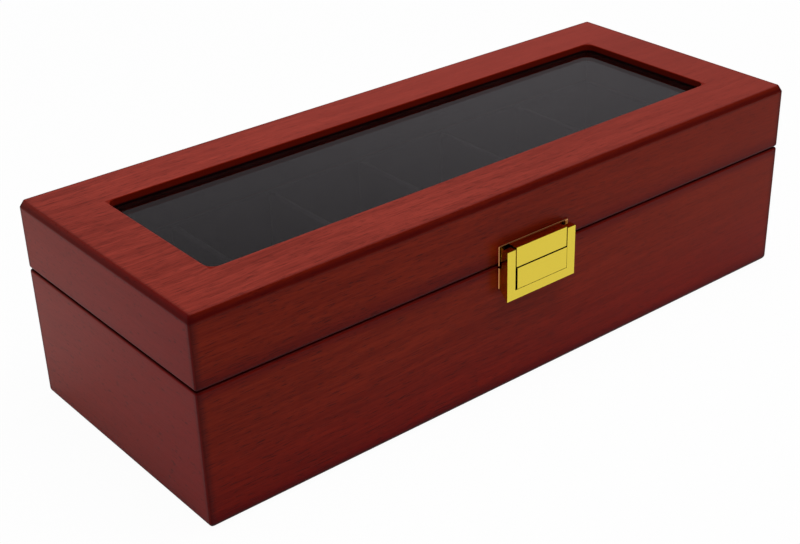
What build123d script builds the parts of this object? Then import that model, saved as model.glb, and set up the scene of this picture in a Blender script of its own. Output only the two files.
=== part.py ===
"""A glazed wooden display box with six velvet compartments for pocket watches.

Millimetres, +Z up. The origin is on the table, under the middle of the wooden case. X runs along
the front from left to right, and +Y points to the back, where the hinges are. The lid is closed.
"""

import os
from math import sqrt

from build123d import *

# ---- Case, outside -------------------------------------------------------------------------
box_length = 318.0
box_depth = 125.0
rim_height = 60.0  # from the table to the upper edge of the base
lid_height = 30.4
lid_gap = 0.3  # between the base's rim and the closed lid
corner_round = 1.2  # sanded upright edges, and the foot of the lid's bevel
foot_round = 2.5  # lower edge of the base
rim_round = 1.0  # upper edge of the base
lid_edge_round = 1.5  # lower edge of the lid
bevel_width = 1.4  # upper edge of the lid, measured across the top
bevel_drop = 3.0  # and measured down the side
bevel_ease = 0.6  # sanded upper arris of that bevel

# ---- Walls, bottom and window --------------------------------------------------------------
base_wall = 9.5
lid_wall = 9.0  # thinner than the base's, so that the lid passes outside the liner's lip
bottom_thickness = 5.0
bottom_rebate = 5.0  # how far the bottom panel reaches under each wall
felt_thickness = 1.0
felt_margin = 0.5  # between the felt's edge and the rounded foot
window_margin = 25.0  # width of the wooden frame round the glass
window_round = 4.4
window_ease = 0.4
glass_recess = 3.4
glass_thickness = 3.0
glass_lap = 6.0  # width of the rebate that takes the glass
glass_play = 0.5
holder_thickness = 2.5  # strips that hold the glass up

# ---- Velvet inside -------------------------------------------------------------------------
compartment_count = 6
liner_thickness = 3.5
liner_lip = 2.0  # how far the liner stands above the rim
floor_thickness = 2.0
divider_thickness = 4.0
divider_round = 1.5
liner_round = 0.8
lid_lining_thickness = 1.5
lid_lining_gap = 0.8  # between the liner's lip and the lid's lining
cushion_height = 24.0
cushion_play = 0.6  # round each cushion
cushion_round = 5.0

# ---- Hinges --------------------------------------------------------------------------------
hinge_spacing = 190.0
hinge_width = 30.0
hinge_inset = 0.7  # from the back face to the pin's axis
leaf_depth = 7.0  # from the pin's axis to the leaf's inner edge
leaf_thickness = 1.0
leaf_parting = 0.2  # between the two closed leaves
barrel_radius = 2.2
barrel_play = 0.3  # between the barrel and the wood
pin_radius = 0.8
pin_play = 0.05  # round the pin in the knuckles that turn
knuckle_count = 5
knuckle_gap = 0.15
hinge_screw_spacing = 18.0

# ---- Screws --------------------------------------------------------------------------------
screw_radius = 0.9
screw_head_radius = 1.6
screw_head_height = 0.6
screw_length = 7.0
screw_slot_width = 0.5
screw_slot_depth = 0.3

# ---- Press catch. Depths are measured outwards from the front face -------------------------
catch_offset = 1.7  # to the right of the middle
catch_width = 37.8
catch_proud = 5.5
catch_sheet = 0.8
catch_edge_round = 0.12
plate_overhang = 0.4  # of both plates beyond the housing, on each side
plate_round = 0.35
frame_drop = 14.85  # U-shaped frame, below the parting line
frame_rise = 7.65  # and above it
frame_leg = 4.4
frame_band = 4.2
frame_stand_off = 1.1  # between the frame's sides and the lid's plate
leg_cap = 3.0  # depth of the fold that closes the top of each leg
slot_gap = 0.55  # each side of the strike
strike_rise = 8.4
strike_drop = 0.4
strike_lip = 1.1  # depth of the hook lip
button_gap = 0.6  # between the strike and the button
button_foot_gap = 0.12
button_left_gap = 1.15
button_right_gap = 0.17
button_lap = 1.2  # how far the button's flange reaches behind each leg
button_seat_gap = 0.05
tongue_gap = 0.3  # between the hook lip and the button's tongue
tongue_width = 18.0
tongue_height = 6.6  # from the tongue's foot to the underside of its nose
nose_length = 1.1
nose_gap = 0.2  # between the nose and the lip that it holds
plate_gap = 0.9  # between the base's plate and the lid's plate
lid_plate_height = 8.75
base_plate_height = 9.5
spring_length = 18.0
spring_width = 2.2
spring_thickness = 0.25
spring_lift = 1.5  # from the lower edge of the base's plate to the spring

# ---- Places that follow from the sizes above -----------------------------------------------
front_face = -box_depth / 2
back_face = box_depth / 2
mitre_reach = window_margin + glass_lap  # further in than any mitred piece
lid_bottom = rim_height + lid_gap
lid_top = lid_bottom + lid_height
parting = rim_height + lid_gap / 2
panel_underside = lid_top - glass_recess - glass_thickness
holder_underside = panel_underside - holder_thickness
liner_foot = felt_thickness + bottom_thickness
liner_top = rim_height + liner_lip
floor_top = liner_foot + floor_thickness
liner_length = box_length - 2 * base_wall
liner_depth = box_depth - 2 * base_wall
inner_length = liner_length - 2 * liner_thickness
inner_depth = liner_depth - 2 * liner_thickness
divider_total = (compartment_count - 1) * divider_thickness
compartment_width = (inner_length - divider_total) / compartment_count
compartment_pitch = compartment_width + divider_thickness
lid_inner_length = box_length - 2 * lid_wall
lid_inner_depth = box_depth - 2 * lid_wall
window_length = box_length - 2 * window_margin
window_depth = box_depth - 2 * window_margin
hinge_y = back_face - hinge_inset
hinge_z = parting
hinge_places = (("left", -hinge_spacing / 2), ("right", hinge_spacing / 2))
pocket_reach = barrel_radius + barrel_play
slot_width = catch_width - 2 * frame_leg
strike_width = slot_width - 2 * slot_gap
frame_top = parting + frame_rise
frame_bottom = parting - frame_drop
band_top = frame_bottom + frame_band
strike_bottom = parting - strike_drop
strike_top = parting + strike_rise
base_plate_top = parting - plate_gap
base_plate_bottom = base_plate_top - base_plate_height
sheet_back = catch_proud - catch_sheet
lip_back = sheet_back - strike_lip


# ---- Helpers -------------------------------------------------------------------------------
def slab(x_range, y_range, z_range):
    """A rectangular block between the given limits."""
    (x0, x1), (y0, y1), (z0, z1) = x_range, y_range, z_range
    middle = ((x0 + x1) / 2, (y0 + y1) / 2, (z0 + z1) / 2)
    return Pos(*middle) * Box(x1 - x0, y1 - y0, z1 - z0)


def centred_slab(length, depth, z0, z1):
    """A block centred on the box's upright axis."""
    return slab((-length / 2, length / 2), (-depth / 2, depth / 2), (z0, z1))


def outward(depth):
    """The Y of a point that stands this far out from the front face."""
    return front_face - depth


def catch_slab(x_range, depth_range, z_range):
    """A block of the catch, with X from the catch's middle and depths from the front face."""
    near, far = depth_range
    x_box = (catch_offset + x_range[0], catch_offset + x_range[1])
    return slab(x_box, (outward(far), outward(near)), z_range)


def wooden_block(z0, z1):
    """A block with the case's outside sizes and rounded upright edges."""
    block = centred_slab(box_length, box_depth, z0, z1)
    return fillet(block.edges().filter_by(Axis.Z), corner_round)


def round_end(block, radius, index):
    """Round the outline of a block's highest (index -1) or lowest (index 0) face."""
    return fillet(block.faces().sort_by(Axis.Z)[index].edges(), radius)


def corner_point(corner, reach):
    """A point on the diagonal through one corner of the box, this far outside it."""
    sign_x, sign_y = corner
    return (sign_x * (box_length / 2 + reach), sign_y * (box_depth / 2 + reach))


def mitre_wedge(corner_a, corner_b):
    """The region that belongs to the side between two corners, bounded by 45 degree mitres."""
    outside = [corner_point(corner_a, mitre_reach), corner_point(corner_b, mitre_reach)]
    inside = [corner_point(corner_b, -mitre_reach), corner_point(corner_a, -mitre_reach)]
    return extrude(make_face(Polyline(outside + inside, close=True)), 2 * lid_top)


def mitred_sides(ring):
    """Cut a rectangular ring into front, back, left and right pieces with mitred corners."""
    corners = {
        "front": ((-1, -1), (1, -1)),
        "back": ((1, 1), (-1, 1)),
        "right": ((1, -1), (1, 1)),
        "left": ((-1, 1), (-1, -1)),
    }
    return {side: ring & mitre_wedge(*pair) for side, pair in corners.items()}


def butted_sides(length, depth, thickness, z0, z1):
    """Four upright boards: front and back run the whole length, the ends fit between them."""
    x, y = length / 2, depth / 2
    return {
        "front": slab((-x, x), (-y, thickness - y), (z0, z1)),
        "back": slab((-x, x), (y - thickness, y), (z0, z1)),
        "left": slab((-x, thickness - x), (thickness - y, y - thickness), (z0, z1)),
        "right": slab((x - thickness, x), (thickness - y, y - thickness), (z0, z1)),
    }


def soften_top(board, radius):
    """Round the long upper edges of an upright velvet-covered board."""
    top = board.faces().sort_by(Axis.Z)[-1]
    long_edges = top.edges().sort_by(SortBy.LENGTH)[-2:]
    return fillet(long_edges, radius)


def screw_body():
    """A countersunk screw along -Z, with its flat head's face at the origin."""
    head = Pos(0, 0, -screw_head_height / 2) * Cone(screw_radius, screw_head_radius, screw_head_height)
    shank_length = screw_length - screw_head_height
    return head + Pos(0, 0, -screw_head_height - shank_length / 2) * Cylinder(screw_radius, shank_length)


def screws(places):
    """Slotted screws at these places, as one group."""
    slot = Box(2 * screw_head_radius, screw_slot_width, 2 * screw_slot_depth)
    return Compound([place * (screw_body() - slot) for place in places])


def screw_holes(places):
    """The wood or metal that those screws take the place of."""
    return Compound([place * screw_body() for place in places])


# ---- Wooden base ---------------------------------------------------------------------------
def base_walls():
    """Four mitred walls with a rebate for the bottom and pockets for the hinges."""
    block = round_end(wooden_block(felt_thickness, rim_height), rim_round, -1)
    block = round_end(block, foot_round, 0)
    cavity = centred_slab(liner_length, liner_depth, 0, lid_top)
    bottom_space = bottom_panel()
    walls = mitred_sides(block - cavity - bottom_space)
    for _, x in hinge_places:
        walls["back"] -= hinge_pocket(x, hinge_z - leaf_parting / 2 - leaf_thickness, rim_height)
        walls["back"] -= screw_holes(hinge_screw_places(x, -1))
    walls["front"] -= screw_holes(catch_base_screw_places())
    return walls


def bottom_panel():
    """The bottom, let into the rebate of the walls."""
    length = liner_length + 2 * bottom_rebate
    depth = liner_depth + 2 * bottom_rebate
    return centred_slab(length, depth, felt_thickness, liner_foot)


def underside_felt():
    """Felt glued under the whole bottom, just inside the rounded foot."""
    inset = foot_round + felt_margin
    return centred_slab(box_length - 2 * inset, box_depth - 2 * inset, 0, felt_thickness)


# ---- Velvet base lining --------------------------------------------------------------------
def liner_boards():
    """Velvet boards inside the walls. Their upper edge is the lip that locates the lid."""
    boards = butted_sides(liner_length, liner_depth, liner_thickness, liner_foot, liner_top)
    return {side: soften_top(board, liner_round) for side, board in boards.items()}


def floor_lining():
    """The padded floor between the liner boards."""
    return centred_slab(inner_length, inner_depth, liner_foot, floor_top)


def dividers():
    """Upright velvet boards that part the compartments."""
    boards = []
    for index in range(1, compartment_count):
        x = index * compartment_pitch - divider_thickness / 2 - inner_length / 2
        x_range = (x - divider_thickness / 2, x + divider_thickness / 2)
        board = slab(x_range, (-inner_depth / 2, inner_depth / 2), (floor_top, liner_top))
        boards.append(soften_top(board, divider_round))
    return boards


def cushions():
    """One soft pad for each compartment, lying on the floor lining."""
    pads = []
    width = compartment_width - 2 * cushion_play
    depth = inner_depth - 2 * cushion_play
    for index in range(compartment_count):
        x = index * compartment_pitch + compartment_width / 2 - inner_length / 2
        pad = Pos(x, 0, floor_top + cushion_height / 2) * Box(width, depth, cushion_height)
        top = pad.faces().sort_by(Axis.Z)[-1]
        pads.append(fillet(top.edges(), cushion_round))
    return pads


# ---- Lid -----------------------------------------------------------------------------------
def lid_block():
    """The lid's outer form, with a steep bevel round the top."""
    block = centred_slab(box_length, box_depth, lid_bottom, lid_top)
    top = block.faces().sort_by(Axis.Z)[-1]
    block = chamfer(top.edges(), bevel_width, bevel_drop, reference=top)
    bevel_foot = lid_top - bevel_drop
    upright = block.edges().filter_by(lambda edge: abs(edge.tangent_at(0).Z) > 0.5)
    foot = block.edges().filter_by(lambda edge: abs(edge.center().Z - bevel_foot) < 0.01)
    block = fillet(upright + foot, corner_round)
    block = round_end(block, bevel_ease, -1)
    return round_end(block, lid_edge_round, 0)


def lid_top_panel():
    """One veneered panel with the routed window, and a rebate below it for the glass."""
    panel = lid_block() & centred_slab(box_length, box_depth, panel_underside, lid_top)
    window = RectangleRounded(window_length, window_depth, window_round)
    panel -= Pos(0, 0, panel_underside) * extrude(window, lid_top - panel_underside)
    panel -= glass_space()
    top = panel.faces().sort_by(Axis.Z)[-1]
    return fillet(top.inner_wires().edges(), window_ease)


def glass_space():
    """The rebate that the glass lies in."""
    length = window_length + 2 * glass_lap
    depth = window_depth + 2 * glass_lap
    return centred_slab(length, depth, panel_underside, panel_underside + glass_thickness)


def glass_pane():
    """Float glass, with a little play all round."""
    length = window_length + 2 * (glass_lap - glass_play)
    depth = window_depth + 2 * (glass_lap - glass_play)
    return centred_slab(length, depth, panel_underside, panel_underside + glass_thickness)


def lid_rails():
    """Four mitred rails under the panel, with pockets for the hinges."""
    ring = lid_block() & centred_slab(box_length, box_depth, lid_bottom, panel_underside)
    ring -= centred_slab(lid_inner_length, lid_inner_depth, lid_bottom, panel_underside)
    rails = mitred_sides(ring)
    for _, x in hinge_places:
        rails["back"] -= hinge_pocket(x, lid_bottom, hinge_z + leaf_parting / 2 + leaf_thickness)
        rails["back"] -= screw_holes(hinge_screw_places(x, 1))
    rails["front"] -= screw_holes(catch_strike_screw_places())
    return rails


def glass_holders():
    """Velvet strips between the rails and the window's edge, under panel and glass."""
    ring = centred_slab(lid_inner_length, lid_inner_depth, holder_underside, panel_underside)
    ring -= centred_slab(window_length, window_depth, holder_underside, panel_underside)
    return mitred_sides(ring)


def lid_linings():
    """Velvet strips inside the rails, above the liner's lip."""
    foot = liner_top + lid_lining_gap
    return butted_sides(lid_inner_length, lid_inner_depth, lid_lining_thickness, foot, holder_underside)


# ---- Hinges --------------------------------------------------------------------------------
def hinge_pocket(x, z0, z1):
    """Wood cut away for one leaf between two heights, and for the barrel."""
    half = hinge_width / 2
    leaf_space = slab((x - half, x + half), (hinge_y - leaf_depth, hinge_y), (z0, z1))
    half += barrel_play
    barrel_z = (hinge_z - pocket_reach, hinge_z + pocket_reach)
    return leaf_space + slab((x - half, x + half), (hinge_y - pocket_reach, back_face), barrel_z)


def knuckles(x, turning):
    """The X limits of the knuckles that belong to one leaf: odd ones turn, even ones stay."""
    step = (hinge_width + knuckle_gap) / knuckle_count
    start = x - hinge_width / 2
    indices = range(1 if turning else 0, knuckle_count, 2)
    return [(start + index * step, start + (index + 1) * step - knuckle_gap) for index in indices]


def hinge_screw_places(x, upward):
    """Where the two screws of one leaf go. They point up in the lid and down in the base."""
    face = hinge_z + upward * leaf_parting / 2
    y = hinge_y - (leaf_depth + pocket_reach) / 2
    turn = Rot(X=180) if upward > 0 else Rot()
    return [Pos(x + side * hinge_screw_spacing / 2, y, face) * turn for side in (-1, 1)]


def hinge_leaf(x, upward):
    """One leaf with its knuckles. upward is 1 for the lid's leaf and -1 for the base's."""
    face = hinge_z + upward * leaf_parting / 2
    z_range = sorted((face, face + upward * leaf_thickness))
    half = hinge_width / 2
    leaf = slab((x - half, x + half), (hinge_y - leaf_depth, hinge_y), z_range)
    reach = pocket_reach
    for x0, x1 in knuckles(x, turning=upward < 0):
        span = (x0 - knuckle_gap, x1 + knuckle_gap)
        leaf -= slab(span, (hinge_y - reach, hinge_y), z_range)
    for x0, x1 in knuckles(x, turning=upward > 0):
        leaf += Pos((x0 + x1) / 2, hinge_y, hinge_z) * Rot(Y=90) * Cylinder(barrel_radius, x1 - x0)
    bore = pin_radius + (pin_play if upward > 0 else 0)
    leaf -= Pos(x, hinge_y, hinge_z) * Rot(Y=90) * Cylinder(bore, hinge_width)
    return leaf - screw_holes(hinge_screw_places(x, upward))


def hinge_pin(x):
    """The pin, fast in the base's knuckles."""
    return Pos(x, hinge_y, hinge_z) * Rot(Y=90) * Cylinder(pin_radius, hinge_width)


# ---- Press catch ---------------------------------------------------------------------------
def rounded_front(piece, radius=catch_edge_round):
    """Ease the arrises of a catch piece's front face."""
    front = piece.faces().sort_by(Axis.Y)[0]
    return fillet(front.edges(), radius)


def catch_plate(z0, z1):
    """A flat plate on the wood, a little wider than the housing, with rolled edges."""
    half = catch_width / 2 + plate_overhang
    return rounded_front(catch_slab((-half, half), (0, catch_sheet), (z0, z1)), plate_round)


def catch_fold(corners, x0, width):
    """A folded piece with this outline seen from the side, from x0 to the right."""
    outline = Plane.YZ * make_face(Polyline(corners, close=True))
    return Pos(catch_offset + x0, 0, 0) * extrude(outline, width)


def plate_screw_places(z):
    """Two places in the ears of a plate, for screws that point into the wood."""
    reach = (catch_width + strike_width) / 4
    xs = (catch_offset - reach, catch_offset + reach)
    return [Pos(x, outward(catch_sheet), z) * Rot(X=90) for x in xs]


def catch_base_screw_places():
    """Where the screws of the base's plate go."""
    return plate_screw_places(base_plate_bottom + base_plate_height / 2)


def catch_strike_screw_places():
    """Where the screws of the lid's plate go."""
    return plate_screw_places(parting + lid_plate_height / 2)


def catch_base_plate():
    """The flat plate that carries the housing on the base."""
    plate = catch_plate(base_plate_bottom, base_plate_top)
    return plate - screw_holes(catch_base_screw_places())


def housing_side(x0):
    """One side wall: it stands clear of the lid's plate above, and is cut back slanting below."""
    step = catch_sheet + frame_stand_off
    corners = [
        (outward(catch_proud), frame_bottom),
        (outward(catch_proud), frame_top),
        (outward(step), frame_top),
        (outward(step), base_plate_top),
        (outward(catch_sheet), base_plate_top),
        (outward(catch_sheet), base_plate_bottom),
    ]
    return catch_fold(corners, x0, catch_sheet)


def housing_underside():
    """The slanting flange that closes the housing below."""
    rise = base_plate_bottom - frame_bottom
    upright_thickness = catch_sheet * sqrt(1 + (rise / sheet_back) ** 2)
    corners = [
        (outward(catch_proud), frame_bottom),
        (outward(catch_sheet), base_plate_bottom),
        (outward(catch_sheet), base_plate_bottom + upright_thickness),
        (outward(catch_proud), frame_bottom + upright_thickness),
    ]
    return catch_fold(corners, -catch_width / 2, catch_width)


def catch_housing():
    """The U-shaped frame round strike and button, with its folded sides."""
    half = catch_width / 2
    frame = catch_slab((-half, half), (sheet_back, catch_proud), (frame_bottom, frame_top))
    slot_x = (-slot_width / 2, slot_width / 2)
    slot = catch_slab(slot_x, (sheet_back, catch_proud), (band_top, frame_top))
    housing = frame - slot + housing_side(-half) + housing_side(half - catch_sheet)
    for leg_x in ((-half, -slot_width / 2), (slot_width / 2, half)):
        cap_depths = (catch_proud - leg_cap, catch_proud)
        housing += catch_slab(leg_x, cap_depths, (frame_top - catch_sheet, frame_top))
    return rounded_front(housing + housing_underside())


def catch_strike():
    """The lid's plate with the folded cover, which ends in a hook lip."""
    cover = (-strike_width / 2, strike_width / 2)
    plate = catch_plate(parting, parting + lid_plate_height)
    roof = catch_slab(cover, (0, catch_proud), (strike_top - catch_sheet, strike_top))
    front = catch_slab(cover, (sheet_back, catch_proud), (strike_bottom, strike_top))
    lip = catch_slab(cover, (lip_back, catch_proud), (strike_bottom, strike_bottom + catch_sheet))
    strike = rounded_front(plate + roof + front + lip)
    return strike - screw_holes(catch_strike_screw_places())


def catch_button():
    """The push button: face, flange behind the legs, and the tongue whose nose holds the lip."""
    top = strike_bottom - button_gap
    bottom = band_top + button_foot_gap
    face_x = (button_left_gap - slot_width / 2, slot_width / 2 - button_right_gap)
    flange_half = slot_width / 2 + button_lap
    seat = sheet_back - button_seat_gap
    face = catch_slab(face_x, (seat, catch_proud), (bottom, top))
    flange = catch_slab((-flange_half, flange_half), (seat - catch_sheet, seat), (bottom, top))
    nose_bottom = strike_bottom + catch_sheet + nose_gap
    nose_top = nose_bottom + catch_sheet
    tongue_front = lip_back - tongue_gap
    tongue_back = tongue_front - catch_sheet
    tongue_foot = nose_bottom - tongue_height
    tongue_x = (-tongue_width / 2, tongue_width / 2)
    web = catch_slab(tongue_x, (tongue_back, seat), (tongue_foot, tongue_foot + catch_sheet))
    tongue = catch_slab(tongue_x, (tongue_back, tongue_front), (tongue_foot, nose_top))
    nose = catch_slab(tongue_x, (tongue_back, tongue_front + nose_length), (nose_bottom, nose_top))
    return rounded_front(face + flange + web + tongue + nose)


def catch_spring():
    """A bowed leaf spring between the base's plate and the button's flange."""
    foot = outward(catch_sheet)
    crown = outward(sheet_back - button_seat_gap - catch_sheet)
    half = spring_length / 2
    inner_half = half - spring_thickness * 2
    outer = ThreePointArc((-half, foot), (0, crown), (half, foot))
    inner = ThreePointArc((inner_half, foot), (0, crown + spring_thickness), (-inner_half, foot))
    ends = [Line((half, foot), (inner_half, foot)), Line((-inner_half, foot), (-half, foot))]
    outline = make_face([outer, inner] + ends)
    lift = base_plate_bottom + spring_lift
    return Pos(catch_offset, 0, lift) * extrude(outline, spring_width)


# ---- The whole box -------------------------------------------------------------------------
def hinge_parts():
    """Both hinges, and their screws as two groups."""
    pieces = {}
    for name, x in hinge_places:
        pieces[f"hinge_{name}_base_leaf"] = hinge_leaf(x, -1)
        pieces[f"hinge_{name}_lid_leaf"] = hinge_leaf(x, 1)
        pieces[f"hinge_{name}_pin"] = hinge_pin(x)
    for group, upward in (("base", -1), ("lid", 1)):
        places = [place for _, x in hinge_places for place in hinge_screw_places(x, upward)]
        pieces[f"hinge_{group}_screws"] = screws(places)
    return pieces


def all_parts():
    """Every piece of the box by name."""
    pieces = {
        "bottom_panel": bottom_panel(),
        "underside_felt": underside_felt(),
        "floor_lining": floor_lining(),
        "lid_top_panel": lid_top_panel(),
        "glass_pane": glass_pane(),
        "catch_base_plate": catch_base_plate(),
        "catch_housing": catch_housing(),
        "catch_spring": catch_spring(),
        "catch_strike": catch_strike(),
        "catch_button": catch_button(),
        "catch_base_screws": screws(catch_base_screw_places()),
        "catch_strike_screws": screws(catch_strike_screw_places()),
    }
    groups = {
        "base_{}_wall": base_walls(),
        "liner_{}": liner_boards(),
        "lid_{}_rail": lid_rails(),
        "glass_holder_{}": glass_holders(),
        "lid_lining_{}": lid_linings(),
    }
    for pattern, sides in groups.items():
        for side, piece in sides.items():
            pieces[pattern.format(side)] = piece
    for pattern, row in (("divider_{}", dividers()), ("cushion_{}", cushions())):
        for number, piece in enumerate(row, start=1):
            pieces[pattern.format(number)] = piece
    return pieces | hinge_parts()


def main():
    """Write one STEP file for each piece."""
    os.makedirs("parts", exist_ok=True)
    for name, piece in all_parts().items():
        export_step(piece, f"parts/{name}.step")
    print(f"hinge axis: y {hinge_y:.2f}, z {hinge_z:.2f}")
    print(f"compartment: {compartment_width:.2f} wide, {inner_depth:.2f} deep")


main()
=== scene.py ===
# %% [markdown]
# # A glazed display box for pocket watches
#
# This lesson dresses a finished construction model of a wooden display box. The walls, the lid,
# the glass, the hinges and the press catch already have their real shapes and sizes. What is
# left is how they look: stained cherry veneer, polished brass, black velvet, felt and glass,
# and the soft pieces, which are sewn and stuffed and can't be drawn as plain blocks.
# Lengths are in metres. X runs along the front, Y points to the back and Z points up.

import math

import bmesh
import bpy
from mathutils import Euler, Matrix, Vector, noise


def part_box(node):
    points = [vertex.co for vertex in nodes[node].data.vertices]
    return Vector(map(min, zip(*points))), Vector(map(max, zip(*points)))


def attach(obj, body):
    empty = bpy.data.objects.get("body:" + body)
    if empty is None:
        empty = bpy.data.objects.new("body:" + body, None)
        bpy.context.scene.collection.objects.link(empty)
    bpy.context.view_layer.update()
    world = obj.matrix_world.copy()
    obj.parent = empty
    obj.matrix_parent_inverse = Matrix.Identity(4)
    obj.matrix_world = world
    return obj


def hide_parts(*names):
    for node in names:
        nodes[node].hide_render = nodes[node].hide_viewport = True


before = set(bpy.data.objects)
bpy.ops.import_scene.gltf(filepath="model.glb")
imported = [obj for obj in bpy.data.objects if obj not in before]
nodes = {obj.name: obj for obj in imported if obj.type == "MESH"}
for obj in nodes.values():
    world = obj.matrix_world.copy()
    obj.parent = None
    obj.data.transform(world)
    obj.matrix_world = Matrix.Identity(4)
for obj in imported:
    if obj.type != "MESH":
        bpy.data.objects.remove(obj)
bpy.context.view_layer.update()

# %% [markdown]
# ## The camera
#
# A long low box shows itself best from above its front left corner, where the lid, the catch
# and one end are all in view. A camera with a short lens would have to come close and would
# splay the long edges, so a lens of about 67 mm stands back until they converge gently. A slight
# roll and a small shift finish the framing.

# %% Place the camera
CAMERA_PLACE = Vector((-0.37014, -0.44482, 0.33678))
LOOK_AZIMUTH = math.radians(39.577)  # from +Y towards +X
LOOK_DOWN = math.radians(29.332)
CAMERA_ROLL = math.radians(1.17)
IMAGE_WIDTH = 800
FOCAL_PIXELS = 1472.1
CENTRE_RIGHT = 27.8  # the lens axis is this many pixels right of the view's middle
CENTRE_BELOW = 28.4
SENSOR_WIDTH = 36.0  # millimetres
NEAREST_SEEN = 0.01

camera_data = bpy.data.cameras.new("camera")
camera_data.sensor_width = SENSOR_WIDTH
camera_data.lens = FOCAL_PIXELS / IMAGE_WIDTH * SENSOR_WIDTH
camera_data.shift_x = -CENTRE_RIGHT / IMAGE_WIDTH
camera_data.shift_y = CENTRE_BELOW / IMAGE_WIDTH
camera_data.clip_start = NEAREST_SEEN
camera = bpy.data.objects.new("camera", camera_data)
aim = Euler((math.pi / 2 - LOOK_DOWN, 0.0, -LOOK_AZIMUTH)).to_matrix().to_4x4()
rolled = Matrix.Rotation(-CAMERA_ROLL, 4, "Z")
camera.matrix_world = Matrix.Translation(CAMERA_PLACE) @ aim @ rolled
bpy.context.scene.collection.objects.link(camera)
bpy.context.scene.camera = camera
print("lens", round(camera_data.lens, 1), "mm")

# %% [markdown]
# ## The studio
#
# Polished wood, brass and glass look like what stands around them. This box stands on a pale
# floor in front of a pale backdrop, behind it and to its left, with a dim room in front and a
# soft light overhead. A paper backdrop bright enough to look white would flood the box with
# light, so there is none. The world is a gradient by direction instead, and Light Path tells it
# what kind of ray asks. The camera finds plain white, directly or straight through the glass.
# Brass and lacquer find the dim gradient, and a pale ceiling high up. The object is lit by the
# gradient and the lamp alone.

# %% Helpers for node trees
def new_material(name):
    """A material with an empty node tree. Returns it with a function that adds nodes."""
    material = bpy.data.materials.new(name)
    material.use_nodes = True
    material.node_tree.nodes.clear()
    return material, node_maker(material.node_tree)


def node_maker(tree):
    """A function that adds a node of a kind to tree, sets its inputs and returns it."""
    def make(kind, inputs=(), **settings):
        node = tree.nodes.new(kind)
        for key, value in settings.items():
            setattr(node, key, value)
        for key, value in dict(inputs).items():
            if isinstance(value, bpy.types.NodeSocket):
                tree.links.new(value, node.inputs[key])
            else:
                node.inputs[key].default_value = value
        return node
    return make


def math_node(make, operation, first, second=0.5, third=0.5):
    """The output of one Math node."""
    return make("ShaderNodeMath", {0: first, 1: second, 2: third}, operation=operation).outputs[0]


def smooth_range(make, value, low, high, to_low=0.0, to_high=1.0):
    """value taken smoothly from low..high to to_low..to_high."""
    inputs = {"Value": value, "From Min": low, "From Max": high,
              "To Min": to_low, "To Max": to_high}
    return make("ShaderNodeMapRange", inputs, interpolation_type="SMOOTHSTEP").outputs["Result"]


def seen_plainly(make, ray):
    """1 for what the camera sees, directly or straight through the glass, and 0 for all else."""
    bounces = math_node(make, "ADD", ray["Diffuse Depth"], ray["Glossy Depth"])
    straight = math_node(make, "LESS_THAN", bounces, 0.5)
    through = math_node(make, "MULTIPLY", ray["Is Transmission Ray"], straight)
    return math_node(make, "MAXIMUM", ray["Is Camera Ray"], through)


print("node helpers ready")

# %% The world: white behind and to the left, dim in front
BACKDROP_WAY = (-0.50, 0.866, 0.0)
BACKDROP_EDGE = 0.35  # cosine of the angle from that way over which the room turns to backdrop
DIM_ROOM = 0.05
BACKDROP_GLOW = 0.24
BACKDROP_TINT = (1.0, 0.93, 0.985, 1)
BACKDROP_TOP = (0.33, 0.50)  # the backdrop's glow falls between these sines of the angle up
HIGH_GLOW = 0.55  # what is left of it above
CEILING_EDGE = (0.58, 0.75)  # and between these, mirrors start to see the ceiling
CEILING_WHITE = 0.4
WHITE = (1, 1, 1, 1)

world = bpy.data.worlds.new("studio")
bpy.context.scene.world = world
world.use_nodes = True
world.node_tree.nodes.clear()
make = node_maker(world.node_tree)
direction = make("ShaderNodeTexCoord").outputs["Generated"]
height = make("ShaderNodeSeparateXYZ", {0: direction}).outputs["Z"]
facing = make("ShaderNodeVectorMath", {0: direction, 1: BACKDROP_WAY}, operation="DOT_PRODUCT")
behind = smooth_range(make, facing.outputs["Value"], -BACKDROP_EDGE, BACKDROP_EDGE,
                      DIM_ROOM, BACKDROP_GLOW)
fading = smooth_range(make, height, *BACKDROP_TOP, 1.0, HIGH_GLOW)
glow = math_node(make, "MULTIPLY", behind, fading)
ray = make("ShaderNodeLightPath").outputs
overhead = smooth_range(make, height, *CEILING_EDGE, 0.0, CEILING_WHITE)
ceiling = math_node(make, "MULTIPLY", ray["Is Glossy Ray"], overhead)
white = math_node(make, "MAXIMUM", seen_plainly(make, ray), ceiling)
strength = make("ShaderNodeMix", {"Factor": white, "A": glow, "B": 1.0}).outputs[0]
tint = make("ShaderNodeMix", {"Factor": white, "A": BACKDROP_TINT, "B": WHITE}, data_type="RGBA")
background = make("ShaderNodeBackground", {"Color": tint.outputs[2], "Strength": strength})
make("ShaderNodeOutputWorld", {"Surface": background.outputs[0]})
print("world ready")

# %% [markdown]
# ## The floor
#
# The floor has two jobs: to look white, and to show the shadow that the box stands in. A white
# floor bright enough to look white would also throw light up under the box. So most of what the
# camera sees of it is a plain white that gives no light to anything else, and the small rest is
# a lit matt surface, which takes the shadow. Far from the box there is no shadow to take, and
# the floor passes over into the white around it without a line. Brass and lacquer mirror mostly
# the lit floor.

# %% Lay the floor
FLOOR_REACH = 6.0
FLOOR_DROP = 0.0001  # below the felt, so that the two never share a surface
FLOOR_COLOUR = (0.82, 0.82, 0.82, 1.0)
WHITE_SHARE = 0.97  # of what the camera sees of the floor; the rest is lit and takes shadow
ALL_WHITE = (0.35, 1.3)  # distances from the box between which the share grows to 1
MIRRORED_SHARE = 0.15  # the same for what brass and lacquer mirror of it

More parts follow.
